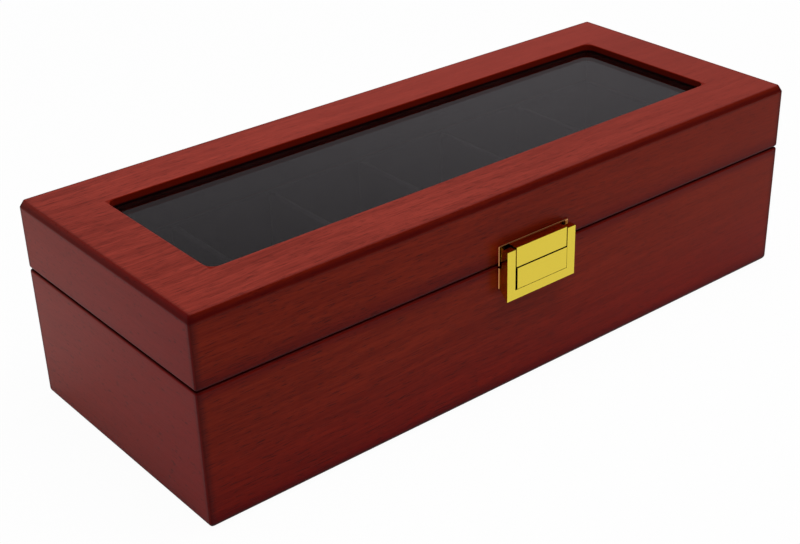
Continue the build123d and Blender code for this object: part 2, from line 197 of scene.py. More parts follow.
floor_mesh = bpy.data.meshes.new("floor")
shape = bmesh.new()
bmesh.ops.create_grid(shape, x_segments=1, y_segments=1, size=FLOOR_REACH)
bmesh.ops.translate(shape, vec=(0, 0, -FLOOR_DROP), verts=shape.verts)
shape.to_mesh(floor_mesh)
shape.free()
floor = bpy.data.objects.new("floor", floor_mesh)
bpy.context.scene.collection.objects.link(floor)
floor_paint, make = new_material("floor_paint")
ray = make("ShaderNodeLightPath").outputs
lit = make("ShaderNodeBsdfDiffuse", {"Color": FLOOR_COLOUR})
white = make("ShaderNodeEmission", {"Color": WHITE, "Strength": 1.0})
place = make("ShaderNodeTexCoord").outputs["Object"]
distance = make("ShaderNodeVectorMath", {0: place}, operation="LENGTH").outputs["Value"]
growing = smooth_range(make, distance, *ALL_WHITE, WHITE_SHARE, 1.0)
seen = math_node(make, "MULTIPLY", seen_plainly(make, ray), growing)
mirrored = math_node(make, "MULTIPLY", ray["Is Glossy Ray"], MIRRORED_SHARE)
share = math_node(make, "MAXIMUM", seen, mirrored)
both = make("ShaderNodeMixShader", {0: share, 1: lit.outputs[0], 2: white.outputs[0]})
make("ShaderNodeOutputMaterial", {"Surface": both.outputs[0]})
floor_mesh.materials.append(floor_paint)
print("floor of", 2 * FLOOR_REACH, "m")

# %% [markdown]
# ## The lamp
#
# One large soft box hangs over the front of the box, so that its shadow is short and soft. Its
# own mirror image in the glass would hide what lies inside, so mirrors and glass don't see the
# lamp, only the light that it casts.

# %% Hang the lamp
LAMP_PLACE = Vector((0.15, -0.25, 1.4))
LAMP_TARGET = Vector((0, 0, 0.05))
LAMP_SIZE = 1.2
LAMP_WATTS = 19.4

lamp_data = bpy.data.lights.new("overhead", "AREA")
lamp_data.size = LAMP_SIZE
lamp_data.energy = LAMP_WATTS
lamp = bpy.data.objects.new("overhead", lamp_data)
lamp.location = LAMP_PLACE
lamp.rotation_euler = (LAMP_TARGET - LAMP_PLACE).to_track_quat("-Z", "Y").to_euler()
lamp.visible_glossy = lamp.visible_transmission = False
bpy.context.scene.collection.objects.link(lamp)
print("studio ready")

# %% [markdown]
# ## Stained cherry veneer
#
# The case is board with a thin cherry veneer, stained a warm red and sprayed with clear satin
# lacquer. A flat red would look like plastic, and one noise would look like marble, so the
# colour is built up as the wood is: broad bands of growth, fine streaks, and short dark pores,
# all stretched along the grain. The grain runs along the front and the top, and across on the
# two ends, and it sways a little, because no tree grows along a ruler. The object's own
# coordinates place the pattern, so that it stays put when the lid opens.

# %% Grain
BANDS = (0.07, 0.0042)  # a growth band's length along the grain and its width across
STREAKS = (0.018, 0.0008)
PORES = (0.0055, 0.00034)
SPECKS = (0.0030, 0.0012)  # small dark flecks in the ends
SWAY_LENGTH = 0.11
SWAY_REACH = 0.008


def grain_noise(make, place, size, detail=2.0):
    """Noise stretched along X. size is how long and how wide its features are."""
    scale = (1 / size[0], 1 / size[1], 1 / size[1])
    stretched = make("ShaderNodeVectorMath", {0: place, 1: scale}, operation="MULTIPLY")
    inputs = {"Vector": stretched.outputs[0], "Scale": 1.0, "Detail": detail}
    return make("ShaderNodeTexNoise", inputs).outputs["Fac"]


def along_grain(make, place, ends):
    """The place with the grain along its X, turned on the ends and swaying gently sideways."""
    quarter_turn = (0, 0, math.pi / 2)
    turned = make("ShaderNodeMapping", {"Vector": place, "Rotation": quarter_turn}).outputs[0]
    along = make("ShaderNodeMix", {"Factor": ends, "A": place, "B": turned}, data_type="VECTOR")
    along = along.outputs[1]
    drift = make("ShaderNodeTexNoise", {"Vector": along, "Scale": 1 / SWAY_LENGTH, "Detail": 1.0})
    reach = (0.0, SWAY_REACH, SWAY_REACH)
    sway = make("ShaderNodeVectorMath", {0: drift.outputs["Color"], 1: reach}, operation="MULTIPLY")
    return make("ShaderNodeVectorMath", {0: along, 1: sway.outputs[0]}, operation="ADD").outputs[0]


def blend_colours(make, share, first, second):
    """A colour between two, by share."""
    inputs = {"Factor": share, "A": first, "B": second}
    return make("ShaderNodeMix", inputs, data_type="RGBA").outputs[2]


print("grain helpers ready")

# %% [markdown]
# ## How the stain took, and the painted light
#
# Each way a face looks gets its own tone of stain, and that tone is painted light: the ends
# are lighter and the fronts darker, as the light falls on them, and the ends show their grain
# less. The normal tells which way a face looks. Each side also drifts in tone from one end to
# the other, and on the ends that drift is painted light, lighter towards the back. A painter
# would mask all this by hand. Here the place and the normal are the masks, which needs no
# picture and works at any resolution.

# %% The stain's colours with painted light, and how each leaf differs
# Each face's tone is painted light: lighter on the ends and darker on the fronts, as light falls.
FRONT_STAIN_AND_LIGHT = (0.177, 0.0100, 0.0020, 1), (0.258, 0.0185, 0.0042, 1)  # between streaks, on them
END_STAIN_AND_LIGHT = (0.32, 0.018, 0.009, 1), (0.36, 0.022, 0.012, 1)
TOP_STAIN_AND_LIGHT = (0.202, 0.024, 0.016, 1), (0.318, 0.041, 0.027, 1)
PORE_BROWN = (0.04, 0.005, 0.004, 1)
# The dark wine red that painted shade and the darker bevel and corners blend towards.
WINE = (0.05, 0.002, 0.003, 1)
ROUTED_WINE = (0.19, 0.010, 0.003, 1)
# Painted shade: black near the glass and on the inner faces of the case.
SHADE_BLACK = (0.022, 0.004, 0.004, 1)
SQUARE_ON = (0.6, 0.8)  # a part of the normal above which a face counts as looking that way
# Painted light: the ends lighter towards the back, where their reflection is brighter.
END_PAINTED_LIGHT = 2.3  # the ends get lighter towards the back by this much per metre
FRONT_DRIFT = 0.7  # and the fronts towards the right
BACK_STRIP = 0.16  # how much lighter the strip of the lid behind the window is
STRIP_FRONT, STRIP_LEFT = (0.030, 0.045), (-0.145, -0.120)  # where that strip sets in
# Painted sheen: the fronts lose sheen low down, and the ends gain it towards the back.
LOW_ZONE = 0.05  # below this height the fronts are redder towards the foot
LOW_SHEEN_LOSS = 0.6  # the share of green and blue that the foot loses
END_PAINTED_SHEEN = 8.0  # the share that the ends gain per metre towards the back
FULL_SHEEN_LOSS = 0.7  # a loss of green and blue from which red falls no further
RED_KEPT = 0.95  # the share of red that is left there


def way_it_looks(make, normal):
    """How far a place is on an end, on a front or back, and on a top, each from 0 to 1."""
    plain = make("ShaderNodeVectorMath", {0: normal}, operation="ABSOLUTE").outputs[0]
    looks = make("ShaderNodeSeparateXYZ", {0: plain}).outputs
    return [smooth_range(make, looks[axis], *SQUARE_ON) for axis in range(3)]


def stain_and_light_tone(make, step, ends, tops):
    """The stain's colour with its painted light, between the streaks, step 0, or on them, step 1.
    """
    upright = blend_colours(make, tops, FRONT_STAIN_AND_LIGHT[step], TOP_STAIN_AND_LIGHT[step])
    return blend_colours(make, ends, upright, END_STAIN_AND_LIGHT[step])


def leaf_and_light_tone(make, where, ends, fronts, tops):
    """How light the veneer is at a place, about 1, with painted light on the ends towards the back.
    """
    back_strip = math_node(make, "MULTIPLY", smooth_range(make, where[1], *STRIP_FRONT),
                           smooth_range(make, where[0], *STRIP_LEFT))
    on_lid = math_node(make, "MULTIPLY", back_strip, tops)
    tone = math_node(make, "MULTIPLY_ADD", on_lid, BACK_STRIP, 1.0)
    on_ends = math_node(make, "MULTIPLY", where[1], ends)
    tone = math_node(make, "MULTIPLY_ADD", on_ends, END_PAINTED_LIGHT, tone)
    on_fronts = math_node(make, "MULTIPLY", where[0], fronts)
    return math_node(make, "MULTIPLY_ADD", on_fronts, FRONT_DRIFT, tone)


def painted_sheen(make, colour, where, ends, fronts, low_shade):
    """Painted sheen: less green and blue low on fronts, forward on ends and in painted shade."""
    low = smooth_range(make, where[2], 0.0, LOW_ZONE, LOW_SHEEN_LOSS, 0.0)
    sheen_loss = math_node(make, "ADD", math_node(make, "MULTIPLY", low, fronts), low_shade)
    on_ends = math_node(make, "MULTIPLY", where[1], ends)
    pale = math_node(make, "MULTIPLY_ADD", on_ends, END_PAINTED_SHEEN, 1.0)
    pale = math_node(make, "MAXIMUM", math_node(make, "SUBTRACT", pale, sheen_loss), 0.0)
    red = smooth_range(make, sheen_loss, 0.0, FULL_SHEEN_LOSS, 1.0, RED_KEPT)
    share = make("ShaderNodeCombineXYZ", {0: red, 1: pale, 2: pale}).outputs[0]
    return make("ShaderNodeVectorMath", {0: colour, 1: share}, operation="MULTIPLY").outputs[0]


print("stains ready")

# %% [markdown]
# ## Painted shade, and where the edges darken
#
# Shade is painted into the wood in wine red: along the foot of the walls, on both sides of the
# seam between base and lid, and on faces that look down. The upright arrises and the lid's bevel
# are darker too. The routed wall of the window drinks the most stain and comes out a dark wine
# red. Painted shade turns it black near the glass, and turns the inner faces of the case nearly
# black. These places are found by measuring from the construction's own boxes, so that they
# stay right if the box is made to another size.

# %% Measures of the case
GLASS_LAP = 0.0055  # how far the glass reaches under the wood
INNER_SHADE_REACH = 0.0008  # how far the painted shade reaches round the walls' inner edges
BEVEL_RUN = 0.0014

glass_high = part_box("glass_pane")[1]
lining_low, lining_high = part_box("liner_front")
wall_low, wall_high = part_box("base_front_wall")
GLASS_TOP = glass_high.z
WINDOW_HALF = (glass_high.x - GLASS_LAP, glass_high.y - GLASS_LAP)
INNER_HALF = (lining_high.x + INNER_SHADE_REACH, -lining_low.y + INNER_SHADE_REACH)
OUTER_HALF = (wall_high.x, -wall_low.y)
BEVEL_HALF = (OUTER_HALF[0] - BEVEL_RUN + 0.0002, OUTER_HALF[1] - BEVEL_RUN - 0.00025)
RIM = wall_high.z
LID_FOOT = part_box("lid_front_rail")[0].z
LID_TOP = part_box("lid_top_panel")[1].z


def outside(make, spot, half, joined="MAXIMUM"):
    """How far a place lies outside an upright rectangle about the middle of the box."""
    return math_node(make, joined, math_node(make, "SUBTRACT", spot[0], half[0]),
                     math_node(make, "SUBTRACT", spot[1], half[1]))


print("window", [round(2 * half, 3) for half in WINDOW_HALF], "m")

# %% Foot, seam, bevel and corners
FOOT_SHADE = 0.55, 0.36  # two overlapping bands of painted shade, the first 8.5 mm high, the second 6.5
SEAM_SHADE = 0.48
LID_FOOT_SHADE = 0.26, 0.42  # a narrow band of painted shade and a wide one
ON_ENDS = 0.2  # the share of this painted shade that the ends get
ARRIS_DARKENING, BEVEL_DARKENING = 0.42, 0.84  # at the lid's top arris, and at the foot of its bevel
BEVEL_ON_ENDS = 0.86  # how much of the bevel's darkening the ends show
CORNER_DARKENING = 0.58
HAIR = 0.0001  # heights nearer than this are the same


def painted_low_shade(make, height, ends):
    """Painted shade along the foot, on both sides of the seam, and at the lid's foot."""
    foot = math_node(make, "ADD", smooth_range(make, height, 0.0015, 0.0085, FOOT_SHADE[0], 0.0),
                     smooth_range(make, height, 0.0, 0.0065, FOOT_SHADE[1], 0.0))
    below_seam = smooth_range(make, height, RIM - 0.005, RIM - 0.0005, 0.0, SEAM_SHADE)
    on_base = math_node(make, "MULTIPLY", math_node(make, "ADD", foot, below_seam),
                        math_node(make, "LESS_THAN", height, RIM + HAIR))
    near = smooth_range(make, height, LID_FOOT, LID_FOOT + 0.003, LID_FOOT_SHADE[0], 0.0)
    wide = smooth_range(make, height, LID_FOOT + 0.001, LID_FOOT + 0.0085, LID_FOOT_SHADE[1], 0.0)
    on_lid = math_node(make, "MULTIPLY", math_node(make, "ADD", near, wide),
                       math_node(make, "GREATER_THAN", height, LID_FOOT - HAIR))
    share = smooth_range(make, ends, 0.0, 1.0, 1.0, ON_ENDS)
    return math_node(make, "MULTIPLY", math_node(make, "MAXIMUM", on_base, on_lid), share)


def bevel_darkening(make, height, spot, tops, ends):
    """The lid's bevel: wine red at its top arris, darkest at its foot, and fading below it."""
    depth = math_node(make, "SUBTRACT", LID_TOP, height)
    growing = smooth_range(make, depth, 0.0, 0.0024, ARRIS_DARKENING, BEVEL_DARKENING)
    share = smooth_range(make, ends, 0.0, 1.0, 1.0, BEVEL_ON_ENDS)
    growing = math_node(make, "MULTIPLY", growing, share)
    fading = smooth_range(make, depth, 0.0021, 0.0045, 1.0, 0.0)
    side = math_node(make, "MULTIPLY", growing, fading)
    beyond = outside(make, spot, BEVEL_HALF)
    border = smooth_range(make, beyond, -0.0015, 0.0003, 0.0, ARRIS_DARKENING)
    return make("ShaderNodeMix", {"Factor": tops, "A": side, "B": border}).outputs[0]


def corner_darkening(make, spot):
    """The upright arrises at the four corners, darker over a few millimetres on both sides."""
    nearness = outside(make, spot, OUTER_HALF, "MINIMUM")
    return smooth_range(make, nearness, -0.0036, -0.0004, 0.0, CORNER_DARKENING)


print("seam from", round(RIM, 4), "to", round(LID_FOOT, 4), "m")

# %% The window's wall and the inner edges
def window_stain_and_shade(make, colour, height, spot):
    """The routed wall of the window, with painted shade near the glass and inside the case."""
    routed = smooth_range(make, outside(make, spot, WINDOW_HALF), 0.0001, 0.0004, 1.0, 0.0)
    colour = blend_colours(make, routed, colour, ROUTED_WINE)
    low_down = smooth_range(make, height, GLASS_TOP + 0.0002, GLASS_TOP + 0.0010, 1.0, 0.0)
    at_glass = math_node(make, "MULTIPLY", routed, low_down)
    colour = blend_colours(make, at_glass, colour, SHADE_BLACK)
    inner = smooth_range(make, outside(make, spot, INNER_HALF), 0.0, 0.0002, 1.0, 0.0)
    under = math_node(make, "LESS_THAN", height, GLASS_TOP - 0.001)
    inside = math_node(make, "MULTIPLY", inner, under)
    return blend_colours(make, inside, colour, SHADE_BLACK)


print("window ready")

# %% [markdown]
# ## Put the veneer together
#
# The grain mixes two tones of stain, and pores and specks prick it with dark brown. Each leaf's
# tone with its painted light, the painted sheen, the painted shade and the darker bevel and
# corners go over that. A very low bump lets the pores catch the light under the lacquer. Satin
# lacquer gives a soft gloss: a middling roughness and a low specular level.

# %% The veneer
STREAK_SHARE, BAND_SHARE = 0.55, 0.45
FIGURE_SPAN = (0.28, 0.72)  # the noise's darkest and lightest, for the two tones of stain
BOLD, CALM = 1.2, 0.42  # contrast of the grain at the front left and at the back right
CORNER_TO_CORNER = 0.14  # half the way from the one to the other
PORE_EDGE, SPECK_EDGE = (0.56, 0.70), (0.58, 0.74)  # noise above this is a pore or a speck
PORE_DEPTH, PORE_DEPTH_ENDS, SPECK_DEPTH = 0.5, 0.1, 0.45
DOWNWARD = (-0.35, -0.05)  # how far a face looks down, where painted shade begins
UNDERSIDE_SHADE = 0.75


def cherry_veneer():
    """Stained and lacquered cherry for every outer face of the case."""
    material, make = new_material("cherry_veneer")
    coordinates = make("ShaderNodeTexCoord").outputs
    place, normal = coordinates["Object"], coordinates["Normal"]
    where = make("ShaderNodeSeparateXYZ", {0: place}).outputs
    spot = make("ShaderNodeVectorMath", {0: place}, operation="ABSOLUTE").outputs[0]
    spot = make("ShaderNodeSeparateXYZ", {0: spot}).outputs
    ends, fronts, tops = way_it_looks(make, normal)

    along = along_grain(make, place, ends)
    streaks = grain_noise(make, along, STREAKS)
    bands = math_node(make, "MULTIPLY", grain_noise(make, along, BANDS), BAND_SHARE)
    figure = math_node(make, "MULTIPLY_ADD", streaks, STREAK_SHARE, bands)
    figure = math_node(make, "SUBTRACT", smooth_range(make, figure, *FIGURE_SPAN), 0.5)
    diagonal = math_node(make, "ADD", where[0], where[1])
    contrast = smooth_range(make, diagonal, -CORNER_TO_CORNER, CORNER_TO_CORNER, BOLD, CALM)
    figure = math_node(make, "MULTIPLY_ADD", figure, contrast, 0.5)
    colour = blend_colours(make, figure, stain_and_light_tone(make, 0, ends, tops),
                           stain_and_light_tone(make, 1, ends, tops))

    pores = smooth_range(make, grain_noise(make, along, PORES, detail=1.0), *PORE_EDGE)
    depth = smooth_range(make, ends, 0.0, 1.0, PORE_DEPTH, PORE_DEPTH_ENDS)
    pitting = math_node(make, "MULTIPLY", math_node(make, "MULTIPLY", pores, depth), contrast)
    specks = grain_noise(make, along, SPECKS)
    specks = smooth_range(make, specks, *SPECK_EDGE, 0.0, SPECK_DEPTH)
    pitting = math_node(make, "MAXIMUM", pitting, math_node(make, "MULTIPLY", specks, ends))
    colour = blend_colours(make, pitting, colour, PORE_BROWN)

    # Each leaf's tone, with painted light on the ends.
    tone = leaf_and_light_tone(make, where, ends, fronts, tops)
    colour = make("ShaderNodeVectorMath", {0: colour, "Scale": tone}, operation="SCALE").outputs[0]
    low_shade = painted_low_shade(make, where[2], ends)
    # Painted sheen, taken out or put in through green and blue.
    colour = painted_sheen(make, colour, where, ends, fronts, low_shade)
    # Painted shade on faces that look down towards the floor.
    downward = make("ShaderNodeSeparateXYZ", {0: normal}).outputs["Z"]
    underside_shade = smooth_range(make, downward, *DOWNWARD, UNDERSIDE_SHADE, 0.0)
    # Painted shade at the foot, the seam and the undersides, and the darker bevel and corners.
    for share in (low_shade, bevel_darkening(make, where[2], spot, tops, ends),
                  corner_darkening(make, spot), underside_shade):
        colour = blend_colours(make, share, colour, WINE)
    colour = window_stain_and_shade(make, colour, where[2], spot)

    relief = math_node(make, "SUBTRACT", streaks, pores)
    bump = make("ShaderNodeBump", {"Height": relief, "Strength": 0.08, "Distance": 0.0002})
    shader = make("ShaderNodeBsdfPrincipled", {
        "Base Color": colour, "Roughness": 0.28, "IOR": 1.3, "Specular IOR Level": 0.16,
        "Normal": bump.outputs[0]})
    make("ShaderNodeOutputMaterial", {"Surface": shader.outputs[0]})
    return material


def dress(names, material):
    """Give these construction pieces a material."""
    for name in names:
        data = nodes[name].data
        data.materials.clear()
        data.materials.append(material)
    print(material.name, "on", len(names), "pieces")


walls = [name for name in nodes if name.endswith(("_wall", "_rail"))]
dress(walls + ["lid_top_panel"], cherry_veneer())

# %% [markdown]
# ## Brass and steel
#
# The catch and the hinges are pressed from brass sheet and polished on a mop. Brass has no
# colour of its own in the dark: it tints what it mirrors, so it is a metal with a low roughness,
# a little uneven where the mop passed. Behind the frame and the strike's cover and round the
# button, shade is painted into the brass in brown or black. The plates against the case are
# painted rose with the reflection of the red wood. That is what makes the catch look like
# several parts and not one block. The spring and the hinge pins are plain drawn steel.

# %% The metals
BRASS = (0.885, 0.695, 0.072, 1)
# Painted light on the brass: a rose reflection of the wood, and brown and black shade.
ROSE_REFLECTION = (0.77, 0.34, 0.125, 1)
BROWN_SHADE = (0.30, 0.11, 0.012, 1)
BLACK_SHADE = (0.02, 0.006, 0.001, 1)
STEEL = (0.55, 0.55, 0.56, 1)
POLISHED, DRAWN = 0.16, 0.3  # roughness

frame_low, frame_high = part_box("catch_housing")
CATCH_MIDDLE = (frame_low.x + frame_high.x) / 2
CATCH_HALF = (frame_high.x - frame_low.x) / 2
CATCH_FACE = frame_low.y
STRIKE_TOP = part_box("catch_strike")[1].z


def metal(name, colour, roughness, *painted_tones):
    """A polished metal with an uneven polish. Each painted shade or reflection is where(make,
    place) and a colour.
    """
    material, make = new_material(name)
    place = make("ShaderNodeTexCoord").outputs["Object"]
    cloud = make("ShaderNodeTexNoise", {"Vector": place, "Scale": 180.0, "Detail": 3.0})
    polish = smooth_range(make, cloud.outputs["Fac"], 0.3, 0.7, roughness * 0.8, roughness * 1.25)
    for where, painted_tone in painted_tones:
        colour = blend_colours(make, where(make, place), colour, painted_tone)
    shader = make("ShaderNodeBsdfPrincipled", {
        "Base Color": colour, "Metallic": 1.0, "Roughness": polish})
    make("ShaderNodeOutputMaterial", {"Surface": shader.outputs[0]})
    return material


def on_plates(make, place):
    """The two plates against the case, deep behind the catch's face."""
    where = make("ShaderNodeSeparateXYZ", {0: place}).outputs
    return smooth_range(make, where[1], CATCH_FACE + 0.0038, CATCH_FACE + 0.0042)


def behind_covers(make, place):
    """What the frame and the strike's cover hide of the plates, where shade is painted."""
    where = make("ShaderNodeSeparateXYZ", {0: place}).outputs
    sideways = math_node(make, "ABSOLUTE", math_node(make, "SUBTRACT", where[0], CATCH_MIDDLE))
    covered = smooth_range(make, sideways, CATCH_HALF + 0.0001, CATCH_HALF + 0.0002, 1.0, 0.0)
    covered = math_node(make, "MULTIPLY", covered, on_plates(make, place))
    low = math_node(make, "LESS_THAN", where[2], STRIKE_TOP - 0.0006)
    return math_node(make, "MULTIPLY", low, covered)


def below_face(make, place):
    """Everything of the button below its polished face, where shade is painted."""
    where = make("ShaderNodeSeparateXYZ", {0: place}).outputs
    return smooth_range(make, where[1], CATCH_FACE + 0.0002, CATCH_FACE + 0.0003)


fittings = [name for name in nodes if name.startswith(("catch_", "hinge_"))]
dress(fittings, metal("polished_brass", BRASS, POLISHED))
# Painted rose reflection on the plates, and painted shade behind the covers.
dress(["catch_strike", "catch_base_plate"],
      metal("catch_brass", BRASS, POLISHED, (on_plates, ROSE_REFLECTION),
            (behind_covers, BROWN_SHADE)))
# Painted shade in the gaps round the button.
dress(["catch_button"], metal("button_brass", BRASS, POLISHED, (below_face, BLACK_SHADE)))
dress(["catch_spring", "hinge_left_pin", "hinge_right_pin"], metal("drawn_steel", STEEL, DRAWN))

# %% [markdown]
# ## The glass
#
# The pane is clear float glass. A clear glass shader bends light as the real pane does, but its
# shadow is dark unless lamps are let through, so for shadow rays it is plainly see-through.

# %% The glass
CLEAR = (0.94, 0.94, 0.94, 1)
SHADOW_TINT = (0.84, 0.84, 0.84, 1)


def window_glass():
    """Clear float glass that lets lamps through to what lies under it."""
    material, make = new_material("window_glass")
    ray = make("ShaderNodeLightPath").outputs
    shader = make("ShaderNodeBsdfPrincipled", {
        "Base Color": CLEAR, "Roughness": 0.0, "IOR": 1.5, "Transmission Weight": 1.0})
    through = make("ShaderNodeBsdfTransparent", {"Color": SHADOW_TINT})
    both = make("ShaderNodeMixShader", {
        0: ray["Is Shadow Ray"], 1: shader.outputs[0], 2: through.outputs[0]})
    make("ShaderNodeOutputMaterial", {"Surface": both.outputs[0]})
    return material


dress(["glass_pane"], window_glass())

# %% [markdown]
# ## Velvet and felt
#
# Velvet is a pile of short fibres standing on end. Seen straight on it swallows light, and along
# the surface it shows a soft sheen, which a plain dark colour would miss. A broad noise is the
# nap, brushed a little this way and that, and a very fine one is the fibres. Felt is the same
# idea with its fibres lying down, so it is paler and has more sheen.

# %% The cloths
BLACK_VELVET = (0.0075, 0.0071, 0.0075)
BLACK_FELT = (0.018, 0.018, 0.018)


def pile_cloth(name, colour, sheen):
    """Short dark pile: a matt ground with a soft sheen where it is seen along the surface."""
    material, make = new_material(name)
    place = make("ShaderNodeTexCoord").outputs["Object"]
    nap = make("ShaderNodeTexNoise", {"Vector": place, "Scale": 60.0, "Detail": 2.0})
    fibre = make("ShaderNodeTexNoise", {"Vector": place, "Scale": 2500.0, "Detail": 2.0})
    tone = smooth_range(make, nap.outputs["Fac"], 0.3, 0.7, 0.7, 1.4)
    tinted = make("ShaderNodeVectorMath", {0: colour, "Scale": tone}, operation="SCALE")
    bump = make("ShaderNodeBump", {
        "Height": fibre.outputs["Fac"], "Strength": 0.5, "Distance": 0.0003})
    shader = make("ShaderNodeBsdfPrincipled", {
        "Base Color": tinted.outputs[0], "Roughness": 0.9, "Specular IOR Level": 0.1,
        "Sheen Weight": sheen, "Sheen Roughness": 0.35, "Normal": bump.outputs[0]})
    make("ShaderNodeOutputMaterial", {"Surface": shader.outputs[0]})
    return material


velvet = pile_cloth("black_velvet", BLACK_VELVET, 0.06)
felt = pile_cloth("black_felt", BLACK_FELT, 0.2)
print("cloths ready")

# %% [markdown]
# ## The bottom board
#
# The bottom is a panel of pressed fibre board, which shows only at its edges, under the felt.
# Pressed fibres have no direction, so a fine noise that runs every way the same is enough.

# %% The bottom board
BOARD_DARK = (0.19, 0.11, 0.06, 1)
BOARD_LIGHT = (0.36, 0.24, 0.14, 1)


def fibre_board():
    """Pressed fibre board: pale brown fibres without a direction."""
    material, make = new_material("fibre_board")
    place = make("ShaderNodeTexCoord").outputs["Object"]
    fibre = make("ShaderNodeTexNoise", {"Vector": place, "Scale": 700.0, "Detail": 4.0})
    ramp = make("ShaderNodeValToRGB", {"Fac": fibre.outputs["Fac"]})
    for stop, position, colour in zip(ramp.color_ramp.elements, (0.35, 0.65),
                                      (BOARD_DARK, BOARD_LIGHT)):
        stop.position = position
        stop.color = colour
    bump = make("ShaderNodeBump", {
        "Height": fibre.outputs["Fac"], "Strength": 0.4, "Distance": 0.0003})
    shader = make("ShaderNodeBsdfPrincipled", {
        "Base Color": ramp.outputs[0], "Roughness": 0.8, "Normal": bump.outputs[0]})
    make("ShaderNodeOutputMaterial", {"Surface": shader.outputs[0]})
    return material


dress(["bottom_panel"], fibre_board())

# %% [markdown]
# ## Boards wrapped in velvet
#
# The compartments are thin boards, each wrapped in velvet before it is glued in. Wrapping rounds
# every edge and leaves the cloth a little slack, so light runs softly along the rims. A block
# with hard edges would look like painted wood. So each board starts as a block of its own
# size, is cut across into short lengths to give the cloth points to move, has its edges
# bevelled, and has its skin let in by a few tenths of a millimetre, unevenly.

# %% Helpers for shaping blocks
SAME_PLANE = 1e-7  # a point this near to a plane lies in it
WELD = 1e-6  # points this near to each other are one
SHARP = 0.5  # an edge that turns by more than this angle is one of the block's own edges


def block_between(low, high):
    """A block that fills the space between two corners."""
    shape = bmesh.new()
    bmesh.ops.create_cube(shape, size=1.0)
    bmesh.ops.scale(shape, vec=high - low, verts=shape.verts)
    bmesh.ops.translate(shape, vec=(low + high) / 2, verts=shape.verts)
    return shape


def everything(shape):
    """All the geometry of a bmesh, as its operators take it."""
    return shape.verts[:] + shape.edges[:] + shape.faces[:]


def cut_away(shape, point, outward):
    """Saw off what lies beyond a plane and close the cut."""
    sawn = bmesh.ops.bisect_plane(shape, geom=everything(shape), dist=SAME_PLANE,
                                  plane_co=point, plane_no=outward, clear_outer=True)
    rim = [item for item in sawn["geom_cut"] if isinstance(item, bmesh.types.BMEdge)]
    bmesh.ops.holes_fill(shape, edges=rim)


def crosscut(shape, spacing):
    """Divide a block's faces across all three axes into steps of about this length."""
    for axis in range(3):
        places = [vert.co[axis] for vert in shape.verts]
        low, high = min(places), max(places)
        steps = max(1, round((high - low) / spacing))
        across = Vector([float(axis == other) for other in range(3)])
        for step in range(1, steps):
            place = across * (low + (high - low) * step / steps)
            bmesh.ops.bisect_plane(shape, geom=everything(shape), dist=SAME_PLANE,
                                   plane_co=place, plane_no=across)


def round_edges(shape, radius):
    """Round a block's own edges, and leave the cuts across its faces."""
    rims = [edge for edge in shape.edges if edge.calc_face_angle() > SHARP]
    bmesh.ops.bevel(shape, geom=rims, offset=radius, segments=2, profile=0.5,
                    affect="EDGES", material=-1)


def finished_piece(name, shape, material, body, slot, *stands_for):
    """Turn a bmesh into a smooth piece that rides on a body in place of construction pieces."""
    bmesh.ops.recalc_face_normals(shape, faces=shape.faces)
    mesh = bpy.data.meshes.new(name)
    shape.to_mesh(mesh)
    shape.free()
    mesh.shade_smooth()
    mesh.materials.append(material)
    piece = bpy.data.objects.new(name, mesh)
    bpy.context.scene.collection.objects.link(piece)
    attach(piece, body)
    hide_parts(*stands_for)
    return piece


def subdivide(piece):
    """Round a piece with one level of subdivision."""
    rounding = piece.modifiers.new("rounding", "SUBSURF")
    rounding.levels = rounding.render_levels = 1


print("shaping helpers ready")

# %% Wrap the boards
WRAP_ROUND = 0.0010  # the cloth's bend round an edge
CLOTH_SLACK = 0.0003
SLACK_WAVES = 55  # waves of slack to the metre, about 18 mm each
CUT_LENGTH = 0.011
LINING_REACH = 0.0007  # the cloth under the lid's lining hangs this much lower than its board
COMPARTMENTS = 6


def mitres(low, high, inward):
    """The two cuts at 45 degrees that let a board meet its neighbours in a frame."""
    middle, half = (low + high) / 2, (high - low) / 2
    along = Vector((abs(inward.y), abs(inward.x), 0))
    cuts = []
    for way in (along, -along):
        corner = middle + (way - inward) * half
        cuts.append((corner, (way + inward).normalized()))
    return cuts


def wrapped_board(node, body, inward=None):
    """A velvet-wrapped board in place of a construction piece, mitred if inward is given."""
    low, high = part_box(node)
    if node.startswith("lid_lining_"):
        low.z -= LINING_REACH
    shape = block_between(low, high)
    for point, outward in mitres(low, high, inward) if inward else ():
        cut_away(shape, point, outward)
    crosscut(shape, CUT_LENGTH)
    round_edges(shape, min(WRAP_ROUND, 0.3 * min(high - low)))
    shape.normal_update()
    for vert in shape.verts:
        wave = 0.5 + 0.5 * noise.noise(vert.co * SLACK_WAVES)
        vert.co -= vert.normal * CLOTH_SLACK * wave
    board = finished_piece("velvet_" + node, shape, velvet, body, "velvet", node)
    subdivide(board)
    return board


INWARD = {"front": Vector((0, 1, 0)), "back": Vector((0, -1, 0)),
          "left": Vector((1, 0, 0)), "right": Vector((-1, 0, 0))}
boards = [wrapped_board("floor_lining", "base")]
for side in INWARD:
    boards.append(wrapped_board("liner_" + side, "base"))
    boards.append(wrapped_board("lid_lining_" + side, "lid"))
    boards.append(wrapped_board("glass_holder_" + side, "lid", INWARD[side]))
for number in range(1, COMPARTMENTS):
    boards.append(wrapped_board("divider_%d" % number, "base"))
points = sum(len(board.data.vertices) for board in boards)
print(len(boards), "wrapped boards, of", points, "points")

# %% [markdown]
# ## The felt under the box
#
# A thin sheet of felt is glued under the bottom so that the box doesn't scratch a table. It is
# a sheet with soft cut edges, so it is a low block, cut across and with its edges rounded.

# %% Lay the felt
FELT_ROUND = 0.0003

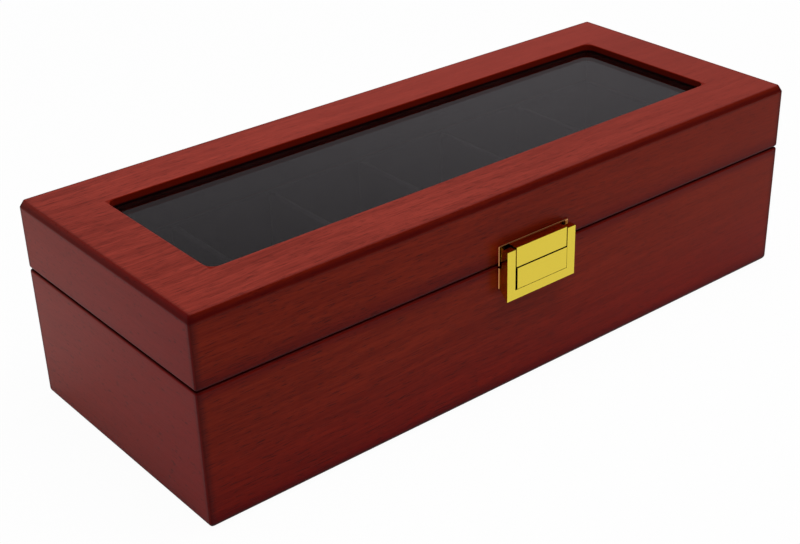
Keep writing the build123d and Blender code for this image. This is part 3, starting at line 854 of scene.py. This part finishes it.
low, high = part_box("underside_felt")
shape = block_between(low, high)
crosscut(shape, CUT_LENGTH)
round_edges(shape, FELT_ROUND)
felt_sheet = finished_piece("felt_sheet", shape, felt, "base", "felt", "underside_felt")
print("felt of", round(high.x - low.x, 3), "by", round(high.y - low.y, 3), "m")

# %% [markdown]
# ## The six cushions
#
# Each compartment holds a velvet pad stuffed with soft foam. A block with rounded edges would
# look moulded, so a smaller copy of each pad is blown up as cloth until it fills its space:
# the middle rises, the corners stay tight, and the sides lie flat only where the compartment's
# walls stop them. A sewn seam runs round the sides, drawn in by its thread.

# %% Helpers for stuffed pads
PAD_MESH = 0.004  # length of the cloth's squares
PAD_SHRINK = Vector((0.0030, 0.0040, 0.0042))  # how much smaller than its space a pad starts
PAD_TRAVEL = 0.007  # the furthest that the stuffing pushes a point
PAD_CLEAR = 0.0001
PRESSURE = 14.0
SETTLING = 20  # frames in which the cloth comes to rest


def apply_modifiers(piece):
    """Keep the shape that the modifiers give and take them off."""
    graph = bpy.context.evaluated_depsgraph_get()
    mesh = bpy.data.meshes.new_from_object(piece.evaluated_get(graph), depsgraph=graph)
    piece.modifiers.clear()
    piece.data = mesh


def smaller_copy(node):
    """A closed copy of a construction pad, drawn in on all sides."""
    low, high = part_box(node)
    shape = bmesh.new()
    shape.from_mesh(nodes[node].data)
    bmesh.ops.remove_doubles(shape, verts=shape.verts, dist=WELD)
    bmesh.ops.recalc_face_normals(shape, faces=shape.faces)
    foot = Vector(((low.x + high.x) / 2, (low.y + high.y) / 2, low.z))
    share = Vector([1 - inset / size for inset, size in zip(PAD_SHRINK, high - low)])
    bmesh.ops.translate(shape, vec=-foot, verts=shape.verts)
    bmesh.ops.scale(shape, vec=share, verts=shape.verts)
    bmesh.ops.translate(shape, vec=foot, verts=shape.verts)
    return shape


def blow_up(piece):
    """Let cloth fill out under pressure, with no gravity, and keep its shape."""
    cloth = piece.modifiers.new("filling", "CLOTH")
    cloth.settings.use_pressure = True
    cloth.settings.uniform_pressure_force = PRESSURE
    cloth.settings.effector_weights.gravity = 0.0
    for step in range(SETTLING):
        bpy.context.scene.frame_set(step + 1)
    apply_modifiers(piece)
    bpy.context.scene.frame_set(1)


def stay_inside(piece, starts, low, high):
    """Hold every point within its travel and inside its space."""
    for vert, start in zip(piece.data.vertices, starts):
        step = vert.co - start
        if step.length > PAD_TRAVEL:
            step *= PAD_TRAVEL / step.length
        place = start + step
        vert.co = [min(max(place[axis], low[axis] + PAD_CLEAR), high[axis] - PAD_CLEAR)
                   for axis in range(3)]


print("stuffing helpers ready")

# %% Stuff and sew the cushions
SEAM_HEIGHT = 0.55  # share of the pad's height at which its seam runs
SEAM_DEPTH = 0.0007
SEAM_HALF = 0.0012


def sew_seam(piece, height):
    """Add three close rows of points round the sides and draw the middle one in."""
    shape = bmesh.new()
    shape.from_mesh(piece.data)
    for offset in (-SEAM_HALF, 0.0, SEAM_HALF):
        row = bmesh.ops.bisect_plane(shape, geom=everything(shape), dist=WELD,
                                     plane_co=(0, 0, height + offset), plane_no=(0, 0, 1))
        if offset == 0.0:
            middle = [item for item in row["geom_cut"] if isinstance(item, bmesh.types.BMVert)]
    shape.normal_update()
    for vert in middle:
        vert.co -= Vector((vert.normal.x, vert.normal.y, 0)).normalized() * SEAM_DEPTH
    shape.to_mesh(piece.data)
    shape.free()


def cushion(number):
    """One stuffed velvet pad."""
    node = "cushion_%d" % number
    low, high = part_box(node)
    piece = finished_piece("velvet_" + node, smaller_copy(node), velvet, node, "velvet", node)
    remesh = piece.modifiers.new("even", "REMESH")
    remesh.mode = "VOXEL"
    remesh.voxel_size = PAD_MESH
    apply_modifiers(piece)
    starts = [vert.co.copy() for vert in piece.data.vertices]
    blow_up(piece)
    travel = max((vert.co - start).length
                 for vert, start in zip(piece.data.vertices, starts))
    print(node, "points moved by up to", round(1000 * travel, 1), "mm")
    stay_inside(piece, starts, low, high)
    sew_seam(piece, low.z + SEAM_HEIGHT * (high.z - low.z))
    piece.data.materials.clear()
    piece.data.materials.append(velvet)
    piece.data.shade_smooth()
    subdivide(piece)
    return piece


pads = [cushion(number + 1) for number in range(COMPARTMENTS)]
print(len(pads), "cushions, of", sum(len(pad.data.vertices) for pad in pads), "points")

# %% [markdown]
# ## Finish
#
# The Standard view shows colours as they were mixed.

# %% Finish
bpy.context.scene.view_settings.view_transform = "Standard"
